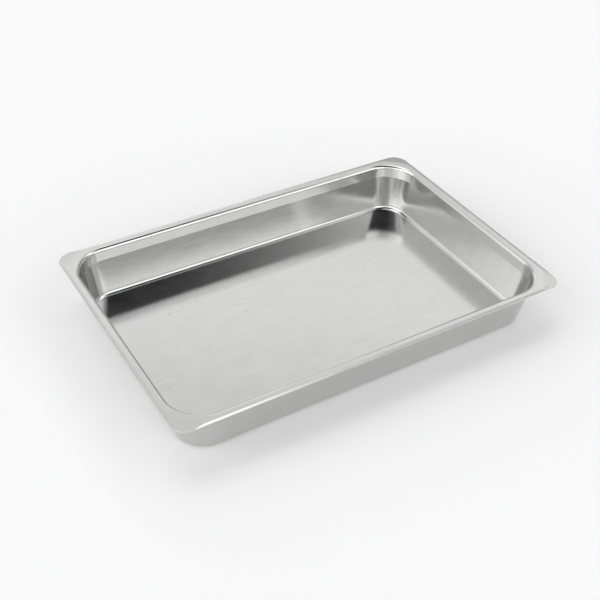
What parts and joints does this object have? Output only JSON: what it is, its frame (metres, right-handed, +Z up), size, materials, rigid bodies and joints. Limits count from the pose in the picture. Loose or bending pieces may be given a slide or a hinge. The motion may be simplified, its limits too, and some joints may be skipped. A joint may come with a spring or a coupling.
{
  "type": "deli food pan",
  "caption": "Shallow rectangular stainless steel food pan with a flat hanging rim, rounded corners, a shallow shoulder in its walls and a flat base.",
  "frame": {"origin": "centre of the underside of the flat base", "axes": "+Z up out of the pan's mouth, X along the long side, Y along the short side"},
  "size_m": [0.6, 0.4, 0.075],
  "materials": {
    "steel": "satin brushed stainless steel, lightly handled"
  },
  "bodies": {
    "root": {"pan": "steel"}
  },
  "joints": []
}
